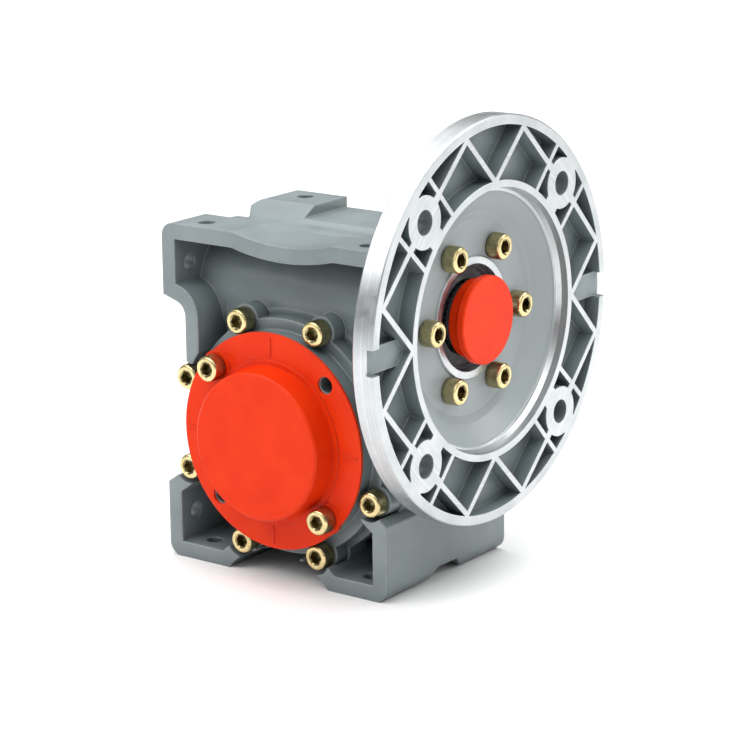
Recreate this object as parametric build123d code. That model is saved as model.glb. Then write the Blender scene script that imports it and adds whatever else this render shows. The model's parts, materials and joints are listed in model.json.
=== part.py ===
from build123d import *
import math
import os

# Right-angle worm gear unit, size 63, with a hollow output shaft and a round motor flange.
# The origin is the centre of the output bore, on the middle plane of the casing.
# +X runs along the worm towards the motor flange, the output axis is Y, +Z is up.
# All dimensions are in millimetres.

# ---- Gear geometry -------------------------------------------------------------------------
CENTRE_DISTANCE = 63.0      # output axis to worm axis
MODULE = 3.25
WORM_STARTS = 2
WHEEL_TEETH = 30
PRESSURE_ANGLE = math.radians(20)
TOOTH_BACKLASH = 0.5        # taken off each tooth, measured on the pitch circle
WHEEL_PITCH_R = MODULE * WHEEL_TEETH / 2
WORM_PITCH_R = CENTRE_DISTANCE - WHEEL_PITCH_R
ADDENDUM = MODULE
DEDENDUM = 1.2 * MODULE
WORM_TIP_R = WORM_PITCH_R + ADDENDUM
WORM_ROOT_R = WORM_PITCH_R - DEDENDUM
WHEEL_TIP_R = WHEEL_PITCH_R + ADDENDUM
WHEEL_ROOT_R = WHEEL_PITCH_R - DEDENDUM
AXIAL_PITCH = math.pi * MODULE
WORM_LEAD = WORM_STARTS * AXIAL_PITCH
WORM_HALF_LENGTH = 23.0
WHEEL_HALF_WIDTH = 13.0
WHEEL_RIM_INNER_R = 38.0

# ---- Output shaft, bore and bearings -------------------------------------------------------
SHAFT_HALF_LENGTH = 56.0
OUTPUT_BORE_R = 12.5
OUTPUT_KEY_WIDTH = 8.0
OUTPUT_KEY_TOP = 15.8       # from the axis to the roof of the keyway
JOURNAL_R = 20.0
SHAFT_SHOULDER_R = 24.0
OUT_BEARING_OUTER_R = 34.0
OUT_BEARING_WIDTH = 15.0
OUT_BEARING_INSIDE = 28.0   # |y| of the bearing's inner side
OUT_SEAL_R = 31.0
OUT_SEAL_WIDTH = 8.0

# ---- Worm shaft, bore and bearings ---------------------------------------------------------
HUB_R = 17.5
HUB_END_X = 88.0
HUB_START_X = 30.0
INPUT_BORE_R = 12.0
INPUT_BORE_DEPTH = 50.0
INPUT_KEY_WIDTH = 8.0
INPUT_KEY_TOP = 15.3
WORM_NECK_R = 12.5
REAR_JOURNAL_R = 10.0
FRONT_BEARING_X = 59.5
FRONT_BEARING_WIDTH = 10.0
FRONT_BEARING_OUTER_R = 27.5
REAR_BEARING_X = -58.0
REAR_BEARING_WIDTH = 14.0
REAR_BEARING_OUTER_R = 23.5
REAR_TUBE_END_X = -67.0

# ---- Casing --------------------------------------------------------------------------------
CASE_LEFT = -70.0
CASE_RIGHT = 67.0
CASE_BOTTOM = -72.0
CASE_TOP = 102.0
CASE_HALF_WIDTH = 51.5
CASE_CORNER_R = 7.0
WALL = 8.0
WEB_HALF = 9.0              # half thickness of the web between the two rows of pockets
LUG_INNER_X = 31.5          # the foot and head lugs reach from the corners in to this |x|
FAR_DIP_X = 2.0             # the far side's top is lower between its two head lugs
FAR_DIP_WIDTH = 67.0
FAR_DIP_DEPTH = 5.5
FOOT_HOLE_X = 50.0
FOOT_HOLE_Y = 40.0
FOOT_HOLE_R = 4.25
HEAD_HOLE_R = 4.5
REAR_HOLE_HIGH = 80.0
REAR_HOLE_LOW = -50.0
CHAMBER_R = 60.0
CHAMBER_BORE_R = 54.5
WORM_TUBE_R = 33.0
WORM_TUBE_BORE_R = 20.0
TOWER_FROM_X = -44.0        # the block that carries the worm tube up from the wheel chamber
TOWER_TO_X = 52.0
FRONT_BOSS_R = 46.0
FRONT_BOSS_START_X = 57.0
FRONT_BOSS_TOP = 101.0      # the boss behind the motor flange is cut flat just below the head
FAR_FACE_Y = 53.0           # machined output face, on both sides
FAR_BOSS_R = 54.0
FACE_HOLE_PCD = 95.0
FACE_HOLE_COUNT = 8
FACE_HOLE_DEPTH = 14.0
M8_THREAD_R = 4.0
M8_SHANK_R = 3.9

# ---- Output cover and its screws -----------------------------------------------------------
COVER_JOINT_Y = -34.3
COVER_SEAT_Y = -43.3        # where the screw heads sit
COVER_DISC_R = 60.0
COVER_LOBE_R = 7.6
COVER_SCREW_PCD = 122.8
COVER_SCREW_COUNT = 8
SPIGOT_R = 54.3
SPIGOT_END_Y = -27.0
M8_HEAD_R = 6.5
M8_HEAD_HEIGHT = 8.0
M8_HEX_FLATS = 6.0
M8_HEX_DEPTH = 4.0

# ---- Protective caps -----------------------------------------------------------------------
CAP_FLANGE_R = 55.0
CAP_FLANGE_THICKNESS = 1.4
CAP_PAD_THICKNESS = 2.1
CAP_STEP_R = 41.5
CAP_DOME_BASE_R = 38.8
CAP_DOME_TOP_R = 37.4
CAP_TOP_Y = -67.6
CAP_WALL = 2.0
PLUG_R = 21.8
PLUG_BACK_X = 88.3
PLUG_FACE_X = 92.0
PLUG_SLEEVE_R = 19.4
PLUG_SLEEVE_X = 82.0

# ---- Motor flange --------------------------------------------------------------------------
FLANGE_R = 100.0
FLANGE_FACE_X = 96.0
FLANGE_RIM_BACK_X = 84.0
FLANGE_MOUNT_X = 72.0
FLANGE_FLOOR_X = 81.2
FLANGE_PCD = 165.0
FLANGE_HOLE_COUNT = 4
FLANGE_HOLE_R = 6.0
FLANGE_BOSS_R = 12.8
BOSS_NECK_WIDTH = 11.0      # joins each boss to the inner and outer lands
PILOT_R = 65.0
PILOT_DEPTH = 3.7           # the register that centres the motor's spigot
PILOT_RELIEF_DEPTH = 6.3    # behind the register the wall is cast, with draft
PILOT_LEDGE = 2.4           # how far the machined ring at the relief's foot reaches inwards
PILOT_LAND_R = 68.5
RIM_LAND_R = 95.0
RIB_WIDTH = 2.8
FLANGE_POCKET_X = 87.0
FLANGE_BORE_R = 26.5
FLANGE_COLLAR_R = 30.0
FLANGE_SPIGOT_R = 31.0
FLANGE_SCREW_PCD = 75.0
FLANGE_SCREW_COUNT = 6
FLANGE_SCREW_LENGTH = 20.0
FLANGE_SCREW_HOLE_DEPTH = 11.5  # blind, so it stays inside the boss
GASKET_THICKNESS = 0.5
RIM_NOTCH_WIDTH = 12.5
RIM_NOTCH_FLOOR_X = 92.0

WORM_AXIS = Axis((0, 0, CENTRE_DISTANCE), (1, 0, 0))


# ---- Helpers -------------------------------------------------------------------------------
def along_y(sketch, y_from, y_to):
    """Extrude a sketch drawn in (x, z) from one y to another."""
    plane = Plane((0, y_to, 0), x_dir=(1, 0, 0), z_dir=(0, -1, 0))
    return extrude(plane * sketch, amount=y_to - y_from)


def along_x(sketch, x_from, x_to):
    """Extrude a sketch drawn in (y, z) from one x to another."""
    return extrude(Plane.YZ.offset(x_from) * sketch, amount=x_to - x_from)


def along_z(sketch, z_from, z_to):
    """Extrude a sketch drawn in (x, y) from one z to another."""
    return extrude(Plane.XY.offset(z_from) * sketch, amount=z_to - z_from)


def cylinder_y(radius, y_from, y_to, x=0.0, z=0.0):
    return along_y(Pos(x, z) * Circle(radius), y_from, y_to)


def cylinder_x(radius, x_from, x_to, y=0.0, z=CENTRE_DISTANCE):
    return along_x(Pos(y, z) * Circle(radius), x_from, x_to)


def turned_about_y(outline):
    """Turn an outline of (radius, y) points round the output axis."""
    face = make_face(Polyline(*[(r, y, 0) for r, y in outline], close=True))
    return revolve(face, Axis.Y, 360)


def turned_about_worm(outline):
    """Turn an outline of (x, radius) points round the worm axis."""
    face = make_face(Polyline(*[(x, 0, CENTRE_DISTANCE + r) for x, r in outline], close=True))
    return revolve(face, WORM_AXIS, 360)


def on_circle(diameter, count, first_angle=0.0):
    """Points evenly spaced on a circle, as (horizontal, vertical) pairs."""
    angles = [math.radians(first_angle + 360 * i / count) for i in range(count)]
    return [(diameter / 2 * math.cos(a), diameter / 2 * math.sin(a)) for a in angles]


def polar(radius, degrees):
    return radius * math.cos(math.radians(degrees)), radius * math.sin(math.radians(degrees))


def bar(start, end, width):
    """A flat bar between two points of a sketch, with round ends."""
    length = math.dist(start, end)
    angle = math.degrees(math.atan2(end[1] - start[1], end[0] - start[0]))
    middle = ((start[0] + end[0]) / 2, (start[1] + end[1]) / 2)
    return Pos(*middle) * Rot(0, 0, angle) * SlotCenterToCenter(length, width)


def cap_screw(shank_length):
    """M8 socket-head screw standing on the origin: the head is above z = 0, the shank below."""
    head = Pos(0, 0, M8_HEAD_HEIGHT / 2) * Cylinder(M8_HEAD_R, M8_HEAD_HEIGHT)
    head = chamfer(head.edges().filter_by(GeomType.CIRCLE).sort_by(Axis.Z)[-1], 0.6)
    hexagon = RegularPolygon(M8_HEX_FLATS / 2, 6, major_radius=False)
    socket = along_z(hexagon, M8_HEAD_HEIGHT - M8_HEX_DEPTH, M8_HEAD_HEIGHT + 1)
    shank = Pos(0, 0, -shank_length / 2) * Cylinder(M8_SHANK_R, shank_length)
    return head - socket + shank


def screws_facing_minus_y(pcd, count, first_angle, seat_y, shank_length):
    screw = Rot(90, 0, 0) * cap_screw(shank_length)
    return [Pos(x, seat_y, z) * screw for x, z in on_circle(pcd, count, first_angle)]


def combine(shapes):
    """One shape from a list of overlapping ones."""
    total = shapes[0]
    for shape in shapes[1:]:
        total = total + shape
    return total


# ---- Rolling bearings ----------------------------------------------------------------------
class Bearing:
    """A deep-groove ball bearing laid out along +Z from z = 0, later turned onto its shaft."""

    RUNNING_GAP = 0.3

    def __init__(self, bore_r, outer_r, width, ball_count):
        self.bore_r = bore_r
        self.outer_r = outer_r
        self.width = width
        self.ball_count = ball_count
        self.pitch_r = (bore_r + outer_r) / 2
        section = outer_r - bore_r
        self.ball_r = min(0.29 * section, 0.32 * width)
        self.shoulder = 0.17 * section   # half the gap between the two rings
        self.groove = Pos(0, 0, width / 2) * Torus(self.pitch_r, self.ball_r + self.RUNNING_GAP)

    def ring(self, inner_r, outer_r):
        body = along_z(Circle(outer_r) - Circle(inner_r), 0, self.width)
        body = chamfer(body.edges().filter_by(GeomType.CIRCLE), 0.5)
        return body - self.groove

    def inner_ring(self):
        return self.ring(self.bore_r, self.pitch_r - self.shoulder)

    def outer_ring(self):
        return self.ring(self.pitch_r + self.shoulder, self.outer_r)

    def ball_places(self):
        return [Pos(x, y, self.width / 2) for x, y in on_circle(2 * self.pitch_r, self.ball_count)]

    def balls(self):
        return [place * Sphere(self.ball_r) for place in self.ball_places()]

    def cage(self):
        half_band = self.shoulder - self.RUNNING_GAP - 0.1
        band = Circle(self.pitch_r + half_band) - Circle(self.pitch_r - half_band)
        cage = along_z(band, self.width / 2 - 0.75 * self.ball_r, self.width - 1.2)
        for place in self.ball_places():
            cage = cage - place * Sphere(self.ball_r + 0.1)
        return cage


# ---- Casing --------------------------------------------------------------------------------
def case_outline():
    """Front view of the casing in (x, z): a rounded block with a hollow on each side."""
    width = CASE_RIGHT - CASE_LEFT
    height = CASE_TOP - CASE_BOTTOM
    centre = Pos((CASE_RIGHT + CASE_LEFT) / 2, (CASE_TOP + CASE_BOTTOM) / 2)
    outline = centre * RectangleRounded(width, height, CASE_CORNER_R)

    head_arc = ThreePointArc((-24, CASE_TOP), (6, CASE_TOP - 4), (36, CASE_TOP))
    head_hollow = make_face(head_arc + Line((36, CASE_TOP), (-24, CASE_TOP)))
    foot_arc = ThreePointArc((-LUG_INNER_X, CASE_BOTTOM), (0, -57), (LUG_INNER_X, CASE_BOTTOM))
    foot_hollow = make_face(foot_arc + Line((LUG_INNER_X, CASE_BOTTOM), (-LUG_INNER_X, CASE_BOTTOM)))
    left_waist = waist(CASE_LEFT, CASE_LEFT + 14, -33, 65)
    right_waist = waist(CASE_RIGHT, CASE_RIGHT - 11, -33, 20)
    return outline - head_hollow - foot_hollow - left_waist - right_waist


def waist(outer_x, inner_x, low, high):
    """A hollow in a side of the front view, with sloping ends and rounded inner corners."""
    low_slope = 0.7 * abs(inner_x - outer_x)
    high_slope = 0.3 * abs(inner_x - outer_x)
    beyond = outer_x + 5 * math.copysign(1, outer_x)
    corners = [
        (beyond, low - low_slope / 3), (outer_x, low), (inner_x, low + low_slope),
        (inner_x, high - high_slope), (outer_x, high), (beyond, high + high_slope / 3),
    ]
    hollow = make_face(Polyline(*corners, close=True))
    bends = [v for v in hollow.vertices() if abs(v.X - inner_x) < 0.01]
    return fillet(bends, 8)


def saddle(edge_z, floor_z, edge_half, floor_half):
    """Side-view (y, z) hollow between the near and the far lugs."""
    beyond = edge_z + math.copysign(5, edge_z)
    corners = [
        (-edge_half, beyond), (-edge_half, edge_z), (-floor_half, floor_z),
        (floor_half, floor_z), (edge_half, edge_z), (edge_half, beyond),
    ]
    return make_face(Polyline(*corners, close=True))


def casting_shell():
    """Lugs, feet and webs round the outside of the casing."""
    outline = case_outline()
    shell = along_y(outline, -CASE_HALF_WIDTH, CASE_HALF_WIDTH)
    pocket = offset(outline, amount=-WALL)
    shell = shell - along_y(pocket, -CASE_HALF_WIDTH - 1, -WEB_HALF)
    shell = shell - along_y(pocket, WEB_HALF, CASE_HALF_WIDTH + 1)
    head = saddle(CASE_TOP, CASE_TOP - 7, 24, 12)
    feet = saddle(CASE_BOTTOM, CASE_BOTTOM + 7, 17, 8)
    shell = shell - along_x(head, CASE_LEFT - 1, CASE_RIGHT + 1)
    far_dip = Pos(FAR_DIP_X, CASE_TOP) * Rectangle(FAR_DIP_WIDTH, 2 * FAR_DIP_DEPTH)
    shell = shell - along_y(far_dip, 10, CASE_HALF_WIDTH + 1)
    shell = shell - along_x(feet, CASE_LEFT - 1, CASE_RIGHT + 1)
    back = make_face(Polyline(
        (CASE_LEFT - 1, -20), (CASE_LEFT, -20), (CASE_LEFT + 7, -9),
        (CASE_LEFT + 7, 9), (CASE_LEFT, 20), (CASE_LEFT - 1, 20), close=True))
    return shell - along_z(back, CASE_BOTTOM - 1, CASE_TOP + 1)


def cover_lobes(disc_r, lobe_r):
    """Round disc with a lobe at each cover screw."""
    lobes = [Pos(*p) * Circle(lobe_r) for p in on_circle(COVER_SCREW_PCD, COVER_SCREW_COUNT, 22.5)]
    return combine([Circle(disc_r)] + lobes)


def make_housing():
    front_boss_x = FLANGE_MOUNT_X - GASKET_THICKNESS
    body = casting_shell()
    body = body + cylinder_y(CHAMBER_R, COVER_JOINT_Y, 38)
    body = body + cylinder_y(FAR_BOSS_R + 2, 38, 45)
    body = body + cylinder_y(FAR_BOSS_R, 45, FAR_FACE_Y)
    body = body + along_y(cover_lobes(COVER_DISC_R + 3, COVER_LOBE_R + 0.8), COVER_JOINT_Y, -20)
    body = body + cylinder_x(WORM_TUBE_R, REAR_TUBE_END_X, front_boss_x)
    tower_top = CENTRE_DISTANCE
    tower = Pos(0, tower_top / 2) * Rectangle(2 * WORM_TUBE_R, tower_top)
    body = body + along_x(tower, TOWER_FROM_X, TOWER_TO_X)
    front_boss = Pos(0, CENTRE_DISTANCE) * Circle(FRONT_BOSS_R)
    below_top = Pos(0, FRONT_BOSS_TOP - FRONT_BOSS_R) * Rectangle(2 * FRONT_BOSS_R, 2 * FRONT_BOSS_R)
    body = body + along_x(front_boss & below_top, FRONT_BOSS_START_X, front_boss_x)

    # room for the cover in front of its joint face
    cover_room = cover_lobes(COVER_DISC_R + 1, COVER_LOBE_R + 1)
    body = body - along_y(cover_room, -CASE_HALF_WIDTH - 1, COVER_JOINT_Y)
    # wheel chamber, with a relief round the far bearing seat
    body = body - cylinder_y(CHAMBER_BORE_R, COVER_JOINT_Y - 1, 24)
    body = body - along_y(Circle(CHAMBER_BORE_R - 3) - Circle(42), 23, 34)
    # far bearing seat, seal seat and the clearance between them
    far_outside = OUT_BEARING_INSIDE + OUT_BEARING_WIDTH
    body = body - cylinder_y(OUT_BEARING_OUTER_R, 23, far_outside)
    body = body - cylinder_y(SHAFT_SHOULDER_R + 3, far_outside - 1, far_outside + 2)
    body = body - cylinder_y(OUT_SEAL_R, far_outside + 1, FAR_FACE_Y + 1)
    # worm bore with its two bearing seats
    body = body - cylinder_x(WORM_TUBE_BORE_R, REAR_TUBE_END_X, FRONT_BEARING_X)
    rear_seat_end = REAR_BEARING_X + REAR_BEARING_WIDTH
    body = body - cylinder_x(REAR_BEARING_OUTER_R, REAR_TUBE_END_X - 5, rear_seat_end)
    body = body - cylinder_x(FRONT_BEARING_OUTER_R, FRONT_BEARING_X, front_boss_x + 1)
    body = body - cylinder_x(FLANGE_SPIGOT_R, 70, front_boss_x + 1)
    body = body - rear_circlip(slack=0.05)

    # holes
    for x in (-FOOT_HOLE_X, FOOT_HOLE_X):
        for y in (-FOOT_HOLE_Y, FOOT_HOLE_Y):
            hole = Pos(x, y) * Circle(FOOT_HOLE_R)
            body = body - along_z(hole, CASE_BOTTOM - 1, CASE_BOTTOM + WALL + 2)
            head_hole = Pos(x, y) * Circle(HEAD_HOLE_R)
            body = body - along_z(head_hole, CASE_TOP - WALL - 2, CASE_TOP + 1)
    for y in (-FOOT_HOLE_Y, FOOT_HOLE_Y):
        for z in (REAR_HOLE_LOW, REAR_HOLE_HIGH):
            body = body - cylinder_x(FOOT_HOLE_R, CASE_LEFT - 1, CASE_LEFT + WALL + 2, y, z)
    for x, z in on_circle(FACE_HOLE_PCD, FACE_HOLE_COUNT):
        body = body - cylinder_y(M8_THREAD_R, FAR_FACE_Y - FACE_HOLE_DEPTH, FAR_FACE_Y + 1, x, z)
    for x, z in on_circle(COVER_SCREW_PCD, COVER_SCREW_COUNT, 22.5):
        body = body - cylinder_y(M8_THREAD_R, COVER_JOINT_Y - 1, COVER_JOINT_Y + 14, x, z)
    for y, z in on_circle(FLANGE_SCREW_PCD, FLANGE_SCREW_COUNT):
        hole_z = z + CENTRE_DISTANCE
        hole_end = front_boss_x - FLANGE_SCREW_HOLE_DEPTH
        body = body - cylinder_x(M8_THREAD_R, hole_end, front_boss_x + 1, y, hole_z)
    return body


# ---- Output cover --------------------------------------------------------------------------
def make_output_cover():
    cover = along_y(cover_lobes(COVER_DISC_R, COVER_LOBE_R), COVER_SEAT_Y, COVER_JOINT_Y)
    cover = cover + turned_about_y([
        (OUT_SEAL_R, -FAR_FACE_Y), (FAR_BOSS_R - 1, -FAR_FACE_Y), (FAR_BOSS_R, -FAR_FACE_Y + 1),
        (FAR_BOSS_R, COVER_SEAT_Y + 1), (OUT_SEAL_R, COVER_SEAT_Y + 1),
    ])
    cover = cover + cylinder_y(SPIGOT_R, COVER_JOINT_Y - 1, SPIGOT_END_Y)
    bearing_outside = OUT_BEARING_INSIDE + OUT_BEARING_WIDTH
    cover = cover - cylinder_y(OUT_BEARING_OUTER_R, -bearing_outside, SPIGOT_END_Y + 1)
    cover = cover - cylinder_y(SHAFT_SHOULDER_R + 3, -bearing_outside - 2, -bearing_outside + 1)
    cover = cover - cylinder_y(OUT_SEAL_R, -FAR_FACE_Y - 1, -bearing_outside - 1)
    cover = cover - along_y(Circle(SPIGOT_R - 3.5) - Circle(42), -36, SPIGOT_END_Y + 1)
    groove = Circle(SPIGOT_R + 1) - Circle(SPIGOT_R - 2)
    cover = cover - along_y(groove, -31.5, -29.4)
    for x, z in on_circle(COVER_SCREW_PCD, COVER_SCREW_COUNT, 22.5):
        cover = cover - cylinder_y(M8_THREAD_R + 0.4, COVER_SEAT_Y - 1, COVER_JOINT_Y + 1, x, z)
    for x, z in on_circle(FACE_HOLE_PCD, FACE_HOLE_COUNT):
        cover = cover - cylinder_y(M8_THREAD_R, -FAR_FACE_Y - 1, -FAR_FACE_Y + FACE_HOLE_DEPTH, x, z)
    return cover


def make_cover_o_ring():
    ring = Torus(SPIGOT_R - 0.98, 0.95)
    return Pos(0, -30.45, 0) * Rot(90, 0, 0) * ring


# ---- Motor flange --------------------------------------------------------------------------
def flange_lattice():
    """Ribs, lands and bosses that stay standing on the flange face, in (y, z) about its centre."""
    inner_r = PILOT_LAND_R - 0.5
    outer_r = RIM_LAND_R + 0.5
    node_r = 84.0
    pieces = []
    for quadrant in range(4):
        start = 90 * quadrant
        boss_angle = start + 45
        for side in (-1, 1):
            cardinal = boss_angle + 45 * side
            outer_vertex = polar(outer_r - 1, cardinal - 14.7 * side)
            node = polar(node_r, boss_angle + 11.3 * side)
            pieces.append(bar(polar(inner_r, cardinal), outer_vertex, RIB_WIDTH))
            pieces.append(bar(outer_vertex, node, RIB_WIDTH))
            pieces.append(bar(node, polar(outer_r, boss_angle + 10.1 * side), RIB_WIDTH - 0.4))
            pieces.append(bar(node, polar(inner_r, boss_angle + 13.5 * side), RIB_WIDTH - 0.4))
            pieces.append(bar(node, polar(FLANGE_PCD / 2, boss_angle), RIB_WIDTH + 1.4))
        pieces.append(Pos(*polar(FLANGE_PCD / 2, boss_angle)) * Circle(FLANGE_BOSS_R))
        pieces.append(bar(polar(inner_r, boss_angle), polar(outer_r, boss_angle), BOSS_NECK_WIDTH))
    return combine(pieces)


def make_input_flange():
    flange = turned_about_worm([
        (70, FLANGE_BORE_R), (70, FLANGE_SPIGOT_R - 0.05), (FLANGE_MOUNT_X, FLANGE_SPIGOT_R - 0.05),
        (FLANGE_MOUNT_X, 47), (73, 48.5), (FLANGE_RIM_BACK_X - 1, 67), (FLANGE_RIM_BACK_X, 70),
        (FLANGE_RIM_BACK_X, FLANGE_R - 1), (FLANGE_RIM_BACK_X + 1, FLANGE_R),
        (FLANGE_FACE_X - 0.6, FLANGE_R), (FLANGE_FACE_X, FLANGE_R - 0.6),
        (FLANGE_FACE_X, PILOT_R), (FLANGE_FACE_X - PILOT_DEPTH, PILOT_R),
        (FLANGE_FACE_X - PILOT_RELIEF_DEPTH, PILOT_R - 1.2),
        (FLANGE_FACE_X - PILOT_RELIEF_DEPTH, PILOT_R - PILOT_LEDGE),
        (FLANGE_FACE_X - PILOT_RELIEF_DEPTH - 1, PILOT_R - PILOT_LEDGE - 0.6),
        (FLANGE_FLOOR_X + 1.6, 52.5),
        (FLANGE_FLOOR_X, 48.5), (FLANGE_FLOOR_X, FLANGE_COLLAR_R + 0.8),
        (FLANGE_FLOOR_X + 1.3, FLANGE_COLLAR_R), (FLANGE_FLOOR_X + 1.3, FLANGE_BORE_R),
    ])
    centre = Pos(0, CENTRE_DISTANCE)
    pockets = Circle(RIM_LAND_R) - Circle(PILOT_LAND_R) - flange_lattice()
    flange = flange - along_x(centre * pockets, FLANGE_POCKET_X, FLANGE_FACE_X + 1)
    for y, z in on_circle(FLANGE_PCD, FLANGE_HOLE_COUNT, 45):
        z = z + CENTRE_DISTANCE
        flange = flange - cylinder_x(FLANGE_HOLE_R, FLANGE_RIM_BACK_X - 10, FLANGE_FACE_X + 1, y, z)
    for y, z in on_circle(FLANGE_SCREW_PCD, FLANGE_SCREW_COUNT):
        z = z + CENTRE_DISTANCE
        flange = flange - cylinder_x(M8_THREAD_R + 0.4, FLANGE_MOUNT_X - 1, FLANGE_FLOOR_X + 3, y, z)
    for side in (-1, 1):
        pad = Pos(side * (PILOT_LAND_R + RIM_LAND_R) / 2, CENTRE_DISTANCE)
        pad = pad * Rectangle(RIM_LAND_R - PILOT_LAND_R + 1, RIM_NOTCH_WIDTH)
        flange = flange + along_x(pad, FLANGE_POCKET_X, RIM_NOTCH_FLOOR_X)
        notch = Pos(side * FLANGE_R, CENTRE_DISTANCE)
        notch = notch * Rectangle(2 * (FLANGE_R - RIM_LAND_R) + 1, RIM_NOTCH_WIDTH)
        flange = flange - along_x(notch, RIM_NOTCH_FLOOR_X, FLANGE_FACE_X + 1)
    return flange


def make_input_gasket():
    sheet = Circle(FRONT_BOSS_R - 0.5) - Circle(FLANGE_SPIGOT_R + 0.1)
    for y, z in on_circle(FLANGE_SCREW_PCD, FLANGE_SCREW_COUNT):
        sheet = sheet - Pos(y, z) * Circle(M8_THREAD_R + 0.2)
    top = FRONT_BOSS_TOP - CENTRE_DISTANCE - 0.5
    below_top = Pos(0, top - FRONT_BOSS_R) * Rectangle(2 * FRONT_BOSS_R, 2 * FRONT_BOSS_R)
    sheet = Pos(0, CENTRE_DISTANCE) * (sheet & below_top)
    return along_x(sheet, FLANGE_MOUNT_X - GASKET_THICKNESS, FLANGE_MOUNT_X)


def make_flange_screws():
    screw = Rot(0, 90, 0) * cap_screw(FLANGE_SCREW_LENGTH)
    places = on_circle(FLANGE_SCREW_PCD, FLANGE_SCREW_COUNT)
    return [Pos(FLANGE_FLOOR_X, y, z + CENTRE_DISTANCE) * screw for y, z in places]


# ---- Seals, rings and closing cap ----------------------------------------------------------
def make_output_seal(side):
    """Lip seal on the output journal; side is -1 on the cover and 1 on the far face."""
    inner = OUT_BEARING_INSIDE + OUT_BEARING_WIDTH + 1.2
    outer = inner + OUT_SEAL_WIDTH
    lip_r = JOURNAL_R + 0.3
    outline = [
        (lip_r, outer - 3), (lip_r + 1.5, outer - 0.5), (lip_r + 4, outer - 1.5),
        (OUT_SEAL_R - 4, outer - 1.5), (OUT_SEAL_R - 3, outer), (OUT_SEAL_R, outer),
        (OUT_SEAL_R, inner), (OUT_SEAL_R - 5, inner), (OUT_SEAL_R - 5, inner + 3),
        (lip_r + 2.5, inner + 3),
    ]
    return turned_about_y([(r, side * y) for r, y in outline])


def make_input_seal():
    lip_r = HUB_R + 0.3
    inner = 71.0
    outer = 78.5
    return turned_about_worm([
        (outer - 3, lip_r), (outer - 0.5, lip_r + 1.2), (outer - 1.5, lip_r + 3.2),
        (outer - 1.5, FLANGE_BORE_R - 2.5), (outer, FLANGE_BORE_R - 1.8), (outer, FLANGE_BORE_R),
        (inner, FLANGE_BORE_R), (inner, FLANGE_BORE_R - 3.5), (inner + 3, FLANGE_BORE_R - 3.5),
        (inner + 3, lip_r + 2),
    ])


def rear_circlip(slack=0.0):
    """Internal retaining ring behind the rear worm bearing, open at the bottom."""
    x_from = REAR_BEARING_X - 1.8 - slack
    ring = Circle(REAR_BEARING_OUTER_R + 1.0 + slack) - Circle(REAR_BEARING_OUTER_R - 2.5)
    if slack == 0:
        ring = ring - Pos(0, -REAR_BEARING_OUTER_R) * Rectangle(12, 10)
        for side in (-1, 1):
            ear = Pos(side * 8.2, -REAR_BEARING_OUTER_R + 4.5)
            ring = ring + ear * Circle(2.6) - ear * Circle(1.0)
    return along_x(Pos(0, CENTRE_DISTANCE) * ring, x_from, x_from + 1.75 + 2 * slack)


def make_rear_closing_cap():
    end = REAR_TUBE_END_X + 0.4
    outer = REAR_BEARING_OUTER_R - 0.02
    return turned_about_worm([
        (end, 0), (end, outer - 4.5), (end + 0.8, outer - 4), (end + 0.8, outer - 3),
        (end, outer - 2.2), (end, outer - 0.6), (end + 0.6, outer), (end + 6.4, outer),
        (end + 6.4, outer - 2), (end + 2.4, outer - 2), (end + 2.4, 0),
    ])


# ---- Caps ----------------------------------------------------------------------------------
def make_output_cap():
    seat = -FAR_FACE_Y
    flange_face = seat - CAP_FLANGE_THICKNESS
    pad_face = seat - CAP_PAD_THICKNESS
    cap = cylinder_y(CAP_FLANGE_R, flange_face, seat)
    cap = cap + cylinder_y(CAP_STEP_R, pad_face, seat)
    pads = on_circle(FACE_HOLE_PCD, 2, 135)
    for x, z in pads:
        cap = cap + cylinder_y(M8_HEAD_R + 1.7, pad_face, seat, x, z)
    cap = cap + turned_about_y([
        (0, seat), (CAP_DOME_BASE_R, seat), (CAP_DOME_BASE_R, pad_face - 0.2),
        (CAP_DOME_TOP_R, CAP_TOP_Y + 1.0), (CAP_DOME_TOP_R - 1.0, CAP_TOP_Y), (0, CAP_TOP_Y),
    ])
    for x, z in on_circle(96, 4):
        rib = Pos(x, z) * Rot(0, 0, math.degrees(math.atan2(z, x))) * Rectangle(9, 1.2)
        cap = cap + along_y(rib, flange_face - 0.5, seat)
    cap = cap - cylinder_y(CAP_DOME_TOP_R - CAP_WALL, CAP_TOP_Y + CAP_WALL, seat + 1)
    for x, z in on_circle(FACE_HOLE_PCD, 4, 45):
        cap = cap - cylinder_y(M8_THREAD_R + 0.4, pad_face - 1, seat + 1, x, z)
    return cap


def make_input_plug():
    return turned_about_worm([
        (PLUG_SLEEVE_X, HUB_R + 0.1), (PLUG_SLEEVE_X, PLUG_SLEEVE_R), (PLUG_BACK_X - 0.5, PLUG_SLEEVE_R),
        (PLUG_BACK_X - 0.5, PLUG_R - 0.3), (PLUG_BACK_X, PLUG_R), (PLUG_FACE_X - 0.6, PLUG_R),
        (PLUG_FACE_X, PLUG_R - 0.6), (PLUG_FACE_X, 0), (PLUG_BACK_X + 1.2, 0),
        (PLUG_BACK_X + 1.2, HUB_R - 1), (PLUG_BACK_X, HUB_R - 1), (PLUG_BACK_X, HUB_R + 0.1),
    ])


# ---- Output shaft and worm wheel -----------------------------------------------------------
def keyway(width, top):
    """Keyway that opens a bore upwards to the given height."""
    return Pos(0, top / 2) * Rectangle(width, top)


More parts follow.
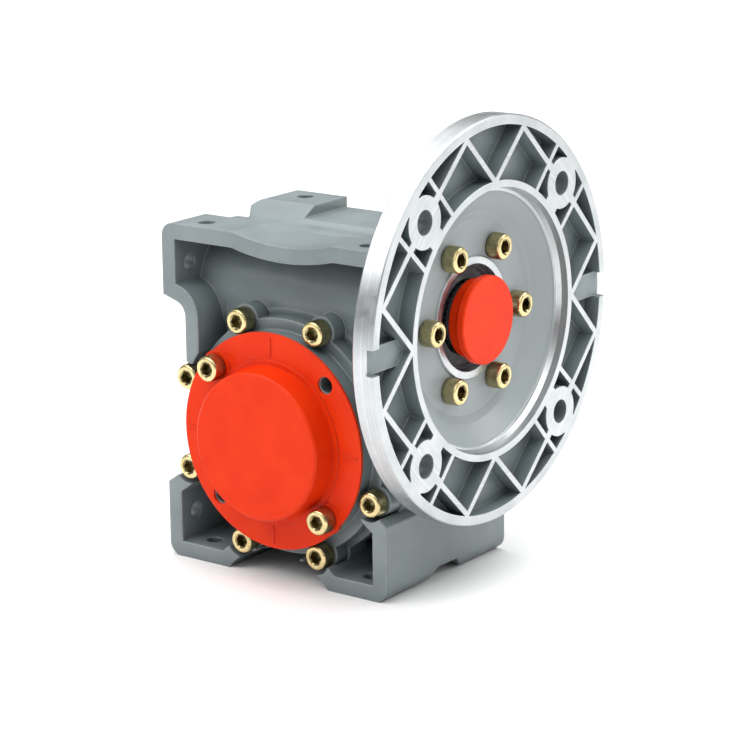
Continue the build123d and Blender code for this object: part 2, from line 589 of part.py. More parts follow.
def make_output_shaft():
    end = SHAFT_HALF_LENGTH
    seat = OUT_BEARING_INSIDE
    half = [
        (WHEEL_RIM_INNER_R, 0), (WHEEL_RIM_INNER_R, WHEEL_HALF_WIDTH),
        (WHEEL_RIM_INNER_R - 4, WHEEL_HALF_WIDTH), (WHEEL_RIM_INNER_R - 5, WHEEL_HALF_WIDTH - 4),
        (SHAFT_SHOULDER_R + 3, WHEEL_HALF_WIDTH - 4), (SHAFT_SHOULDER_R, WHEEL_HALF_WIDTH),
        (SHAFT_SHOULDER_R, seat), (JOURNAL_R, seat), (JOURNAL_R, end - 1), (JOURNAL_R - 1, end),
    ]
    mirrored = [(r, -y) for r, y in reversed(half[1:])]
    shaft = turned_about_y(mirrored + half + [(0, end), (0, -end)])
    bore = Circle(OUTPUT_BORE_R) + keyway(OUTPUT_KEY_WIDTH, OUTPUT_KEY_TOP)
    return shaft - along_y(bore, -end - 1, end + 1)


def involute(angle):
    return math.tan(angle) - angle


def wheel_tooth_half_angle(radius):
    """Half the angle that a wheel tooth covers at a radius, from the involute of its flank."""
    base_r = WHEEL_PITCH_R * math.cos(PRESSURE_ANGLE)
    pitch_half = (AXIAL_PITCH / 2 - TOOTH_BACKLASH) / (2 * WHEEL_PITCH_R)
    flank_angle = math.acos(min(1.0, base_r / radius))
    return pitch_half + involute(PRESSURE_ANGLE) - involute(flank_angle)


def wheel_profile():
    """Cross-section of the worm wheel, with a gap centred on the vertical at the top."""
    radii = [WHEEL_ROOT_R, WHEEL_ROOT_R + 0.3 * (ADDENDUM + DEDENDUM),
             WHEEL_ROOT_R + 0.65 * (ADDENDUM + DEDENDUM), WHEEL_TIP_R]
    points = []
    for tooth in range(WHEEL_TEETH):
        centre = math.pi / 2 + (tooth + 0.5) * 2 * math.pi / WHEEL_TEETH
        for r in radii:
            a = centre - wheel_tooth_half_angle(r)
            points.append((r * math.cos(a), r * math.sin(a)))
        for r in reversed(radii):
            a = centre + wheel_tooth_half_angle(r)
            points.append((r * math.cos(a), r * math.sin(a)))
    return make_face(Polyline(*points, close=True))


def make_worm_wheel():
    helix_turn = math.degrees(2 * WHEEL_HALF_WIDTH * math.tan(lead_angle()) / WHEEL_PITCH_R)
    section = Plane((0, -WHEEL_HALF_WIDTH, 0), x_dir=(-1, 0, 0), z_dir=(0, 1, 0)) * (
        Rot(0, 0, -helix_turn / 2) * wheel_profile())
    wheel = Solid.extrude_linear_with_rotation(
        section.face(), (0, -WHEEL_HALF_WIDTH, 0), (0, 2 * WHEEL_HALF_WIDTH, 0), helix_turn)
    return wheel - cylinder_y(WHEEL_RIM_INNER_R, -WHEEL_HALF_WIDTH - 1, WHEEL_HALF_WIDTH + 1)


# ---- Worm shaft ----------------------------------------------------------------------------
def lead_angle():
    return math.atan(WORM_LEAD / (2 * math.pi * WORM_PITCH_R))


def worm_profile():
    """Cross-section of the worm: along each start the radius rises and falls with the helix."""
    half_at_pitch = (AXIAL_PITCH / 2 - TOOTH_BACKLASH) / 2
    slope = math.tan(PRESSURE_ANGLE)
    half_tip = half_at_pitch - ADDENDUM * slope
    half_root = half_at_pitch + DEDENDUM * slope
    gap = AXIAL_PITCH - 2 * half_root
    thread = [
        (-half_root, WORM_ROOT_R), (-half_at_pitch, WORM_PITCH_R), (-half_tip, WORM_TIP_R),
        (0, WORM_TIP_R), (half_tip, WORM_TIP_R), (half_at_pitch, WORM_PITCH_R),
        (half_root, WORM_ROOT_R), (half_root + gap / 3, WORM_ROOT_R),
        (half_root + gap * 2 / 3, WORM_ROOT_R),
    ]
    points = []
    for start in range(WORM_STARTS):
        centre = 2 * math.pi * start / WORM_STARTS - math.pi / 2
        for along, r in thread:
            a = centre + 2 * math.pi * along / WORM_LEAD
            points.append((r * math.cos(a), r * math.sin(a)))
    return make_face(Polyline(*points, close=True))


def make_worm_threads():
    turns = 2 * WORM_HALF_LENGTH / WORM_LEAD
    section = Plane.YZ.offset(-WORM_HALF_LENGTH) * (Rot(0, 0, -180 * turns) * worm_profile())
    threads = Solid.extrude_linear_with_rotation(
        section.face(), (-WORM_HALF_LENGTH, 0, 0), (2 * WORM_HALF_LENGTH, 0, 0), 360 * turns)
    return Pos(0, 0, CENTRE_DISTANCE) * threads


def make_worm_shaft():
    front_shoulder = FRONT_BEARING_X
    rear_shoulder = REAR_BEARING_X + REAR_BEARING_WIDTH
    core = turned_about_worm([
        (REAR_BEARING_X - 3.5, 0), (REAR_BEARING_X - 3.5, REAR_JOURNAL_R - 1),
        (REAR_BEARING_X - 2.5, REAR_JOURNAL_R), (rear_shoulder, REAR_JOURNAL_R),
        (rear_shoulder, WORM_NECK_R), (-WORM_HALF_LENGTH - 1, WORM_NECK_R),
        (-WORM_HALF_LENGTH + 1, WORM_ROOT_R - 0.4), (WORM_HALF_LENGTH - 1, WORM_ROOT_R - 0.4),
        (WORM_HALF_LENGTH + 1, WORM_NECK_R), (HUB_START_X - 2, WORM_NECK_R), (HUB_START_X, HUB_R),
        (front_shoulder - 3, HUB_R), (front_shoulder - 3, HUB_R + 2), (front_shoulder, HUB_R + 2),
        (front_shoulder, HUB_R), (HUB_END_X - 1, HUB_R), (HUB_END_X, HUB_R - 1), (HUB_END_X, 0),
    ])
    shaft = core + make_worm_threads()
    bore = Circle(INPUT_BORE_R) + keyway(INPUT_KEY_WIDTH, INPUT_KEY_TOP)
    bore_end = HUB_END_X - INPUT_BORE_DEPTH
    shaft = shaft - along_x(Pos(0, CENTRE_DISTANCE) * bore, bore_end, HUB_END_X + 1)
    groove = Circle(HUB_R + 1) - Circle(HUB_R - 0.7)
    clip_x = FRONT_BEARING_X + FRONT_BEARING_WIDTH
    return shaft - along_x(Pos(0, CENTRE_DISTANCE) * groove, clip_x, clip_x + 1.4)


def make_worm_circlip():
    """External retaining ring in front of the input-side bearing's inner ring."""
    clip_x = FRONT_BEARING_X + FRONT_BEARING_WIDTH
    ring = Circle(HUB_R + 2.2) - Circle(HUB_R - 0.6) - Pos(0, HUB_R) * Rectangle(7, 8)
    return along_x(Pos(0, CENTRE_DISTANCE) * ring, clip_x + 0.05, clip_x + 1.3)


# ---- Bearings in their places --------------------------------------------------------------
OUT_BEARING = Bearing(JOURNAL_R, OUT_BEARING_OUTER_R, OUT_BEARING_WIDTH, 11)
FRONT_BEARING = Bearing(HUB_R, FRONT_BEARING_OUTER_R, FRONT_BEARING_WIDTH, 13)
REAR_BEARING = Bearing(REAR_JOURNAL_R, REAR_BEARING_OUTER_R, REAR_BEARING_WIDTH, 8)

BEARINGS = {
    "cover_side_bearing": (OUT_BEARING, Pos(0, -OUT_BEARING_INSIDE, 0) * Rot(90, 0, 0)),
    "far_side_bearing": (OUT_BEARING, Pos(0, OUT_BEARING_INSIDE, 0) * Rot(-90, 0, 0)),
    "input_bearing": (FRONT_BEARING, Pos(FRONT_BEARING_X, 0, CENTRE_DISTANCE) * Rot(0, 90, 0)),
    "rear_bearing": (REAR_BEARING, Pos(REAR_BEARING_X, 0, CENTRE_DISTANCE) * Rot(0, 90, 0)),
}


def bearing_parts():
    parts = {}
    for name, (bearing, place) in BEARINGS.items():
        parts[name + "_outer_ring"] = place * bearing.outer_ring()
        parts[name + "_inner_ring"] = place * bearing.inner_ring()
        parts[name + "_cage"] = place * bearing.cage()
        parts[name + "_balls"] = [place * ball for ball in bearing.balls()]
    return parts


# ---- Every piece of the gearbox ------------------------------------------------------------
PARTS = {
    "housing": make_housing(),
    "output_cover": make_output_cover(),
    "cover_o_ring": make_cover_o_ring(),
    "cover_screws": screws_facing_minus_y(COVER_SCREW_PCD, COVER_SCREW_COUNT, 22.5, COVER_SEAT_Y, 20),
    "input_flange": make_input_flange(),
    "input_gasket": make_input_gasket(),
    "flange_screws": make_flange_screws(),
    "output_seal_cover_side": make_output_seal(-1),
    "output_seal_far_side": make_output_seal(1),
    "input_seal": make_input_seal(),
    "rear_circlip": rear_circlip(),
    "rear_closing_cap": make_rear_closing_cap(),
    "output_cap": make_output_cap(),
    "cap_screws": screws_facing_minus_y(FACE_HOLE_PCD, 2, 135, -FAR_FACE_Y - CAP_PAD_THICKNESS, 12),
    "input_plug": make_input_plug(),
    "output_shaft": make_output_shaft(),
    "worm_wheel_rim": make_worm_wheel(),
    "worm_shaft": make_worm_shaft(),
    "worm_circlip": make_worm_circlip(),
}
PARTS.update(bearing_parts())

os.makedirs("parts", exist_ok=True)
for node, shape in PARTS.items():
    solids = shape if isinstance(shape, list) else shape.solids()
    export_step(Compound(children=solids), os.path.join("parts", node + ".step"))
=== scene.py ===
import bpy
import json
import math
from mathutils import Matrix, Vector


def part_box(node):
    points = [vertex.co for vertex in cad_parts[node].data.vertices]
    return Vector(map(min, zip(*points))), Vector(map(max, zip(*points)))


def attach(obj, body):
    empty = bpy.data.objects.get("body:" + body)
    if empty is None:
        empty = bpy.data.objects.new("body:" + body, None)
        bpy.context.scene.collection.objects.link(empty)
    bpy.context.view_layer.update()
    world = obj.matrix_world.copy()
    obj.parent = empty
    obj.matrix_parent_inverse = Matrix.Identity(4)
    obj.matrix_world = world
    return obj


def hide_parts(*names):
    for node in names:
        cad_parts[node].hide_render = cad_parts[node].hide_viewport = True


# The looks of the worm gearbox: finishes for every CAD piece, detailed screws, a plain studio.
# Lengths are metres, in the CAD frame: +X along the worm to the motor flange, +Y along the
# output bore, +Z up, with the origin at the centre of the output bore.

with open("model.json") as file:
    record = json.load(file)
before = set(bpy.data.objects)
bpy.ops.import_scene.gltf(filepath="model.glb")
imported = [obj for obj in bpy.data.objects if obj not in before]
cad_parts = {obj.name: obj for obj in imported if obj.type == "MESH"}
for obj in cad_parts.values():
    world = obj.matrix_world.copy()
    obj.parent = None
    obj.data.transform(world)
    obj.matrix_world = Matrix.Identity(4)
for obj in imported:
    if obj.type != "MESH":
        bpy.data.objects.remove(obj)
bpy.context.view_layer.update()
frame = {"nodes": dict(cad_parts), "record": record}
nodes = frame["nodes"]
mounts = {mount["name"]: mount for mount in frame["record"]["mounts"]}

MM = 0.001
WORM_Z = mounts["input_bore"]["pos_m"][2]
FLANGE_LOW, FLANGE_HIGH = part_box("input_flange")
FLANGE_FACE_X = FLANGE_HIGH.x
FLANGE_R = (FLANGE_HIGH.z - FLANGE_LOW.z) / 2
PILOT_R = mounts["motor_pilot"]["dims"]["r_mm"] * MM
PILOT_RELIEF_DEPTH = 6.5 * MM   # from the flange face to just past the pilot wall's foot
PILOT_LEDGE = 2.5 * MM          # width of the turned ring at that foot, and a little more
COLLAR_R = 30.1 * MM            # inside it everything is turned
RIM_SKIN = 1.1 * MM             # the rim is bright down to this depth
FACE_SKIN = 0.05 * MM
PILOT_SKIN = 0.1 * MM
TOOL_RINGS_PER_METRE = 900.0
FLOOR_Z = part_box("housing")[0].z


# ---- Node graphs ---------------------------------------------------------------------------
class Finish:
    """A material under construction: most methods add nodes and return their output."""

    def __init__(self, name, **shader_values):
        self.material = bpy.data.materials.new(name)
        self.material.use_nodes = True
        self.tree = self.material.node_tree
        self.shader = self.tree.nodes["Principled BSDF"]
        self.place = self.node("ShaderNodeTexCoord").outputs["Object"]
        for socket, value in shader_values.items():
            self.feed(self.shader.inputs[socket.replace("_", " ")], value)

    def feed(self, socket, value):
        if isinstance(value, bpy.types.NodeSocket):
            self.tree.links.new(value, socket)
        else:
            socket.default_value = value

    def node(self, kind, inputs=None, **settings):
        node = self.tree.nodes.new(kind)
        for key, value in settings.items():
            setattr(node, key, value)
        for key, value in (inputs or {}).items():
            self.feed(node.inputs[key], value)
        return node

    def math(self, operation, a, b=0.0):
        return self.node("ShaderNodeMath", {0: a, 1: b}, operation=operation).outputs[0]

    def noise(self, size, detail, place=None):
        """Soft noise from 0 to 1 whose blotches are about size across."""
        inputs = {"Vector": place or self.place, "Scale": 1 / size, "Detail": detail}
        return self.node("ShaderNodeTexNoise", inputs).outputs["Fac"]

    def stretched(self, along, across, axis):
        """The place, shrunk so that noise comes out long along one axis."""
        scale = [1 / across] * 3
        scale[axis] = 1 / along
        mapping = self.node("ShaderNodeMapping", {"Vector": self.place, "Scale": scale})
        return mapping.outputs["Vector"]

    def noise_along(self, position, **inputs):
        """Noise from 0 to 1 that varies along one position only."""
        inputs["W"] = position
        return self.node("ShaderNodeTexNoise", inputs, noise_dimensions="1D").outputs["Fac"]

    def range(self, value, low, high, to_low=0.0, to_high=1.0):
        inputs = {"Value": value, "From Min": low, "From Max": high, "To Min": to_low,
                  "To Max": to_high}
        return self.node("ShaderNodeMapRange", inputs).outputs["Result"]

    def mottled(self, size, low, high):
        """A roughness that drifts from low to high in patches about size across."""
        return self.range(self.noise(size, 2), 0.2, 0.8, low, high)

    def inverse(self, value):
        return self.math("SUBTRACT", 1.0, value)

    def distance(self, a, b):
        """Length of the line whose two components are a and b."""
        squares = self.math("ADD", self.math("MULTIPLY", a, a), self.math("MULTIPLY", b, b))
        return self.math("SQRT", squares)

    def mix(self, factor, a, b):
        """Colour a where factor is 0, colour b where it is 1."""
        node = self.node("ShaderNodeMix", data_type="RGBA")
        self.feed(node.inputs["Factor"], factor)
        self.feed(node.inputs[6], a)
        self.feed(node.inputs[7], b)
        return node.outputs[2]

    def cavity(self, distance):
        """1 on open surfaces, towards 0 in corners and holes; the mask for painted shade."""
        inputs = {"Distance": distance}
        node = self.node("ShaderNodeAmbientOcclusion", inputs, samples=4)
        return node.outputs["AO"]

    def edges(self, radius):
        """1 on edges, 0 on flat surfaces, from how far a rounded edge would turn the surface."""
        round_normal = self.node("ShaderNodeBevel", {"Radius": radius}, samples=4).outputs[0]
        true_normal = self.node("ShaderNodeNewGeometry").outputs["True Normal"]
        inputs = {0: round_normal, 1: true_normal}
        dot = self.node("ShaderNodeVectorMath", inputs, operation="DOT_PRODUCT").outputs["Value"]
        return self.range(dot, 0.98, 0.75)

    def rounded(self, radius):
        """Normals of a surface whose sharp edges are rounded."""
        return self.node("ShaderNodeBevel", {"Radius": radius}, samples=6).outputs[0]

    def bump(self, height, depth, normal=None):
        """Raise the surface by up to depth where height is 1."""
        inputs = {"Height": height, "Distance": depth, "Strength": 1.0}
        if normal:
            inputs["Normal"] = normal
        return self.node("ShaderNodeBump", inputs).outputs["Normal"]

    def split(self):
        """The x, y and z of the place."""
        return self.node("ShaderNodeSeparateXYZ", {0: self.place}).outputs

    def radius_about_worm(self):
        _, y, z = self.split()
        return self.distance(y, self.math("SUBTRACT", z, WORM_Z))

    def radius_about_output(self):
        x, _, z = self.split()
        return self.distance(x, z)

    def turning_marks(self, position, pitch):
        """Fine tool grooves: a ripple along a position, uneven from groove to groove."""
        phase = self.math("MULTIPLY", position, 2 * math.pi / pitch)
        ripple = self.math("SINE", phase)
        unevenness = self.noise_along(position, Scale=0.4 / pitch)
        swing = {0: ripple, 1: self.math("MULTIPLY", unevenness, 0.5), 2: 0.5}
        return self.node("ShaderNodeMath", swing, operation="MULTIPLY_ADD").outputs[0]

    def set(self, **values):
        """Give the shader these inputs, and return the material."""
        for socket, value in values.items():
            self.feed(self.shader.inputs[socket.replace("_", " ")], value)
        return self.material


# ---- Finishes ------------------------------------------------------------------------------
PAINT = (0.160, 0.195, 0.203, 1)
PAINT_PALE = (0.205, 0.245, 0.253, 1)
# Pale edge colour: partly worn paint, partly a painted highlight.
PAINT_DUST_AND_HIGHLIGHT = (0.44, 0.47, 0.475, 1)
PAINT_SHADE = (0.040, 0.052, 0.055, 1)
RECESS_GREY = (0.31, 0.345, 0.355, 1)
BRIGHT_METAL = (0.58, 0.60, 0.61, 1)
STAINED_METAL = (0.47, 0.50, 0.51, 1)
BRIGHT_RING = (0.78, 0.80, 0.81, 1)
ORANGE = (0.68, 0.027, 0.002, 1)
ORANGE_CLOUD = (0.75, 0.038, 0.003, 1)
ORANGE_SCUFF = (0.92, 0.16, 0.07, 1)
ORANGE_SHADE = (0.42, 0.008, 0.001, 1)
ROSE_TINT = (0.72, 0.46, 0.30, 1)
RUBBER = (0.030, 0.029, 0.033, 1)
RUBBER_BLOOM = (0.075, 0.073, 0.082, 1)
FIBRE_DARK = (0.10, 0.12, 0.085, 1)
FIBRE_LIGHT = (0.20, 0.22, 0.16, 1)


def darker(colour, share):
    """A colour with only this share of its light, still opaque."""
    return tuple(channel * share for channel in colour[:3]) + (1,)


def paint_layers(finish):
    """Colour, roughness and surface height of the satin paint on the castings, with painted shade in
    the corners and a painted highlight, partly real wear, on the edges.
    """
    clouds = finish.noise(28 * MM, 4)
    grain = finish.noise(1.1 * MM, 3)
    colour = finish.mix(finish.range(clouds, 0.35, 0.7), PAINT, PAINT_PALE)
    # Painted shade: the paint darkens towards a near-black grey in corners and hollows, where shade
    # falls.
    painted_shade = finish.range(finish.cavity(14 * MM), 0.2, 0.9, 0.55, 0.0)
    colour = finish.mix(painted_shade, colour, PAINT_SHADE)
    # Partly real wear, partly painted highlight: edges are lightened where rounded cast edges would
    # catch the light.
    wear_and_highlight = finish.math("MULTIPLY", finish.edges(1.3 * MM), finish.range(grain, 0.2, 0.5))
    colour = finish.mix(finish.math("MULTIPLY", wear_and_highlight, 0.75), colour, PAINT_DUST_AND_HIGHLIGHT)
    roughness = finish.mottled(9 * MM, 0.28, 0.42)
    height = finish.math("ADD", grain, finish.noise(6 * MM, 2))
    return colour, roughness, height


def casing_paint():
    finish = Finish("casing_paint", Specular_IOR_Level=0.5, Coat_Weight=0.2,
                    Coat_Roughness=0.2)
    colour, roughness, height = paint_layers(finish)
    normal = finish.bump(height, 0.06 * MM, finish.rounded(2.0 * MM))
    return finish.set(Base_Color=colour, Roughness=roughness, Normal=normal)


def machined_mask(finish):
    """1 on the flange's turned surfaces (face, rim, pilot wall, collar), and 1 on its face only."""
    x = finish.split()[0]
    r = finish.radius_about_worm()
    face = finish.math("GREATER_THAN", x, FLANGE_FACE_X - FACE_SKIN)
    rim = finish.math("GREATER_THAN", r, FLANGE_R - RIM_SKIN)
    pilot = finish.math("GREATER_THAN", x, FLANGE_FACE_X - PILOT_RELIEF_DEPTH)
    pilot = finish.math("MULTIPLY", pilot, finish.math("LESS_THAN", r, PILOT_R + PILOT_SKIN))
    pilot = finish.math("MULTIPLY", pilot, finish.math("GREATER_THAN", r, PILOT_R - PILOT_LEDGE))
    inside = finish.math("LESS_THAN", r, COLLAR_R)
    masks = finish.math("ADD", finish.math("ADD", face, rim), finish.math("ADD", pilot, inside))
    return finish.math("MINIMUM", masks, 1.0), face


def turned_aluminium(finish, along):
    """Colour of the bright metal, with the rings that the tool left along a position."""
    stain = finish.range(finish.noise(16 * MM, 5), 0.35, 0.7)
    metal = finish.mix(stain, BRIGHT_METAL, STAINED_METAL)
    rings = finish.noise_along(along, Scale=TOOL_RINGS_PER_METRE, Detail=3.0)
    return finish.mix(finish.range(rings, 0.5, 0.8, 0.0, 0.5), metal, BRIGHT_RING)


def flange_finish():
    """Painted die casting whose mating surfaces are turned bright."""
    finish = Finish("motor_flange", Specular_IOR_Level=0.5)
    paint, paint_roughness, paint_height = paint_layers(finish)
    machined, face = machined_mask(finish)
    painted = finish.inverse(machined)
    x = finish.split()[0]
    r = finish.radius_about_worm()
    recess = finish.math("MULTIPLY", finish.math("LESS_THAN", r, PILOT_R),
                         finish.math("LESS_THAN", x, FLANGE_FACE_X - PILOT_RELIEF_DEPTH))
    paint = finish.mix(finish.math("MULTIPLY", recess, 0.75), paint, RECESS_GREY)
    along = finish.math("ADD", finish.math("MULTIPLY", r, face),
                        finish.math("MULTIPLY", x, finish.inverse(face)))
    colour = finish.mix(machined, paint, turned_aluminium(finish, along))
    metal_roughness = finish.mottled(5 * MM, 0.25, 0.38)
    roughness = finish.math("ADD", finish.math("MULTIPLY", metal_roughness, machined),
                            finish.math("MULTIPLY", paint_roughness, painted))
    cast = finish.math("MULTIPLY", paint_height, painted)
    turned = finish.math("MULTIPLY", finish.turning_marks(along, 0.55 * MM), machined)
    normal = finish.bump(cast, 0.05 * MM, finish.rounded(0.5 * MM))
    normal = finish.bump(turned, 0.006 * MM, normal)
    return finish.set(Base_Color=colour, Metallic=machined, Roughness=roughness, Normal=normal)


def moulded_plastic():
    """Satin orange caps: fine spark-eroded grain, slight sink clouds, pale rubbed edges, and painted
    shade in the corners.
    """
    finish = Finish("orange_plastic", Specular_IOR_Level=0.13)
    clouds = finish.range(finish.noise(17 * MM, 3), 0.3, 0.7)
    colour = finish.mix(clouds, ORANGE, ORANGE_CLOUD)
    scuffs = finish.noise(1.0, 5, finish.stretched(9 * MM, 0.5 * MM, 0))
    scuffed = finish.range(scuffs, 0.66, 0.78)
    pale = finish.math("MAXIMUM", finish.math("MULTIPLY", scuffed, 0.12),
                       finish.math("MULTIPLY", finish.edges(0.5 * MM), 0.25))
    colour = finish.mix(pale, colour, ORANGE_SCUFF)
    # Painted shade: the orange darkens towards a deep red in corners and hollows, where shade falls.
    painted_shade = finish.range(finish.cavity(6 * MM), 0.25, 0.85, 0.45, 0.0)
    colour = finish.mix(painted_shade, colour, ORANGE_SHADE)
    roughness = finish.mottled(5 * MM, 0.30, 0.42)
    normal = finish.bump(finish.noise(0.35 * MM, 2), 0.012 * MM, finish.rounded(0.7 * MM))
    return finish.set(Base_Color=colour, Roughness=roughness, Normal=normal)


def yellow_zinc(name, pale, deep, rough_low, rough_high):
    """Yellow-passivated steel: gold with green and rose tints, and painted shade in its hollows."""
    finish = Finish(name, Metallic=1.0)
    tint = finish.noise(4.5 * MM, 3)
    colour = finish.mix(finish.range(tint, 0.35, 0.6), deep, pale)
    rose = finish.range(finish.noise(6 * MM, 2), 0.58, 0.75)
    colour = finish.mix(finish.math("MULTIPLY", rose, 0.3), colour, ROSE_TINT)
    # Painted shade: the zinc darkens almost to black in sockets and corners, where shade falls.
    shade = finish.range(finish.cavity(3 * MM), 0.2, 0.8, 0.8, 0.0)
    colour = finish.mix(shade, colour, darker(deep, 0.12))
    roughness = finish.mottled(2 * MM, rough_low, rough_high)
    return finish.set(Base_Color=colour, Roughness=roughness,
                      Normal=finish.bump(finish.noise(0.5 * MM, 2), 0.006 * MM))


def turned_metal(name, light, dark, rough_low, rough_high, position, pitch):
    """Turned or ground metal with tool marks, darker patches, and painted shade in its corners and
    holes.
    """
    finish = Finish(name, Metallic=1.0)
    patches = finish.range(finish.noise(9 * MM, 4), 0.35, 0.75)
    # Painted shade: the metal darkens in corners and holes, where shade falls.
    corner_shade = finish.range(finish.cavity(6 * MM), 0.3, 0.9, 0.6, 0.0)
    colour = finish.mix(patches, light, dark)
    colour = finish.mix(corner_shade, colour, darker(dark, 0.3))
    roughness = finish.mottled(3 * MM, rough_low, rough_high)
    marks = finish.turning_marks(position(finish), pitch)
    return finish.set(Base_Color=colour, Roughness=roughness,
                      Normal=finish.bump(marks, 0.005 * MM))


def rubber():
    finish = Finish("nitrile_rubber", Specular_IOR_Level=0.4, Sheen_Weight=0.2)
    bloom = finish.range(finish.noise(5 * MM, 5), 0.45, 0.8)
    colour = finish.mix(bloom, RUBBER, RUBBER_BLOOM)
    roughness = finish.mottled(2 * MM, 0.45, 0.65)
    return finish.set(Base_Color=colour, Roughness=roughness,
                      Normal=finish.bump(finish.noise(0.4 * MM, 3), 0.015 * MM))


def fibre_gasket():
    finish = Finish("fibre_gasket", Specular_IOR_Level=0.3)
    fibres = finish.noise(1.0, 6, finish.stretched(3 * MM, 0.4 * MM, 1))
    colour = finish.mix(fibres, FIBRE_DARK, FIBRE_LIGHT)
    roughness = finish.range(fibres, 0.3, 0.7, 0.75, 0.92)
    return finish.set(Base_Color=colour, Roughness=roughness,
                      Normal=finish.bump(fibres, 0.04 * MM))


def along_x_position(finish):
    return finish.split()[0]


def along_y_position(finish):
    return finish.split()[1]


def all_finishes():
    steel, steel_dark = (0.60, 0.61, 0.63, 1), (0.42, 0.43, 0.45, 1)
    iron, iron_dark = (0.36, 0.36, 0.37, 1), (0.22, 0.22, 0.23, 1)
    bronze_light, bronze_dark = (0.72, 0.48, 0.22, 1), (0.52, 0.32, 0.13, 1)
    phosphate, phosphate_dark = (0.13, 0.13, 0.14, 1), (0.06, 0.06, 0.065, 1)
    cage_light, cage_dark = (0.50, 0.50, 0.49, 1), (0.34, 0.34, 0.34, 1)
    return {
        "casing": casing_paint(),
        "bare_aluminium": flange_finish(),
        "orange_plastic": moulded_plastic(),
        "zinc_screw": yellow_zinc("yellow_zinc", (0.80, 0.66, 0.34, 1), (0.60, 0.50, 0.24, 1),
                                  0.18, 0.34),
        "seal_rubber": rubber(),
        "gasket": fibre_gasket(),
        "spring_steel": turned_metal("phosphated_spring", phosphate, phosphate_dark, 0.35, 0.5,
                                     Finish.radius_about_worm, 0.3 * MM),
        "bearing_steel": turned_metal("ground_bearing_steel", steel, steel_dark, 0.16, 0.28,
                                      Finish.radius_about_output, 0.2 * MM),
        "ball_steel": turned_metal("polished_ball_steel", (0.78, 0.79, 0.80, 1), steel, 0.06,
                                   0.14, along_y_position, 0.4 * MM),
        "cage_steel": turned_metal("pressed_cage_steel", cage_light, cage_dark, 0.30, 0.45,
                                   Finish.radius_about_output, 0.3 * MM),
        "cast_iron": turned_metal("turned_iron", iron, iron_dark, 0.30, 0.46,
                                  Finish.radius_about_output, 0.35 * MM),
        "bronze": turned_metal("hobbed_bronze", bronze_light, bronze_dark, 0.24, 0.38,
                               along_y_position, 0.3 * MM),
        "hardened_steel": turned_metal("ground_worm_steel", steel, steel_dark, 0.18, 0.32,
                                       along_x_position, 0.25 * MM),
    }


FINISHES = all_finishes()
for part in frame["record"]["subparts"]:
    mesh = nodes[part["node"]].data
    mesh.materials.clear()
    mesh.materials.append(FINISHES[part["material_slot"]])


# ---- Screws --------------------------------------------------------------------------------
HEAD_R = 6.5 * MM
HEAD_HEIGHT = 8.0 * MM
SHANK_R = 3.9 * MM
SOCKET_FLATS = 6.0 * MM
SOCKET_DEPTH = 4.0 * MM
SOCKET_CONE = 0.5 * MM
SOCKET_TIP_R = 0.2 * MM
SOCKET_CHAMFER = 0.45 * MM
SOCKET_TAPER = 0.97
SOCKET_MOUTH_R = 3.95 * MM
KNURL_DEPTH = 0.35 * MM
KNURL_TEETH = 44
KNURL_START = 1.25 * MM
KNURL_END = HEAD_HEIGHT - 0.9 * MM
FOOT_CHAMFER = 0.6 * MM
FOOT_EDGE_R = 6.1 * MM
FOOT_R = 5.9 * MM
HEAD_CORNER = [(0, 5.25 * MM), (0.12 * MM, 5.65 * MM), (0.45 * MM, 6.05 * MM), (0.95 * MM, 6.25 * MM)]
TIP_CHAMFER = 0.8 * MM
SHARP_TURN = math.radians(28)
# Painted shade: a darker, olive copy of the yellow zinc for the knurled sides of the heads, which
# face away from the light.
KNURLED_ZINC_SHADED = yellow_zinc("knurled_zinc_shaded", (0.56, 0.49, 0.27, 1), (0.40, 0.37, 0.22, 1),
                           0.26, 0.40)
# Painted shade: a much darker copy of the yellow zinc for the hex socket's faces, standing in for the
# shade inside it.
SOCKET_ZINC_PAINTED_SHADE = yellow_zinc("socket_zinc_painted_shade", (0.40, 0.33, 0.17, 1), (0.17, 0.14, 0.07, 1),
                          0.18, 0.30)


def screw_rings(length):
    """The angles of the steps round a screw, and its rings from the socket out to the tip.

    A ring is its height above the head's top, its radius at each step, and the finish it has.
    """
    steps = 2 * KNURL_TEETH
    turn = [2 * math.pi * step / steps for step in range(steps)]
    sixth = math.pi / 3
    hexagon = [SOCKET_FLATS / 2 / math.cos((a + sixth / 2) % sixth - sixth / 2) for a in turn]
    knurl = [HEAD_R - KNURL_DEPTH * (step % 2) for step in range(steps)]

    def circle(radius):
        return [radius] * steps

    rings = [
        (-SOCKET_DEPTH - SOCKET_CONE, circle(SOCKET_TIP_R), "socket"),
        (-SOCKET_DEPTH, [r * SOCKET_TAPER for r in hexagon], "socket"),
        (-SOCKET_CHAMFER, hexagon, "socket"),
        (0, circle(SOCKET_MOUTH_R), "socket"),
        *((-down, circle(radius), "face") for down, radius in HEAD_CORNER),
        (-KNURL_START, knurl, "knurl"),
        (-KNURL_END, knurl, "knurl"),
        (-HEAD_HEIGHT + FOOT_CHAMFER, circle(FOOT_EDGE_R), "knurl"),
        (-HEAD_HEIGHT, circle(FOOT_R), "knurl"),
        (-HEAD_HEIGHT, circle(SHANK_R), "knurl"),
        (TIP_CHAMFER - length, circle(SHANK_R), "knurl"),
        (-length, circle(SHANK_R - TIP_CHAMFER), "knurl"),
    ]
    return turn, rings


def screw_places(node, axis, way):
    """Centre of each screw of a node, on its head's top face, and its length."""
    spans = []
    for vertex in node.data.vertices:
        at = node.matrix_world @ vertex.co
        across = [at[i] for i in range(3) if i != axis]
        for span in spans:
            if math.dist(across, span[0]) < 2.2 * HEAD_R:
                span[1].append(at)
                break
        else:
            spans.append((across, [at]))
    places = []
    for _, points in spans:
        low = Vector(min(p[i] for p in points) for i in range(3))
        high = Vector(max(p[i] for p in points) for i in range(3))
        top = (low + high) / 2
        top[axis] = high[axis] if way > 0 else low[axis]
        places.append((top, high[axis] - low[axis]))
    return places


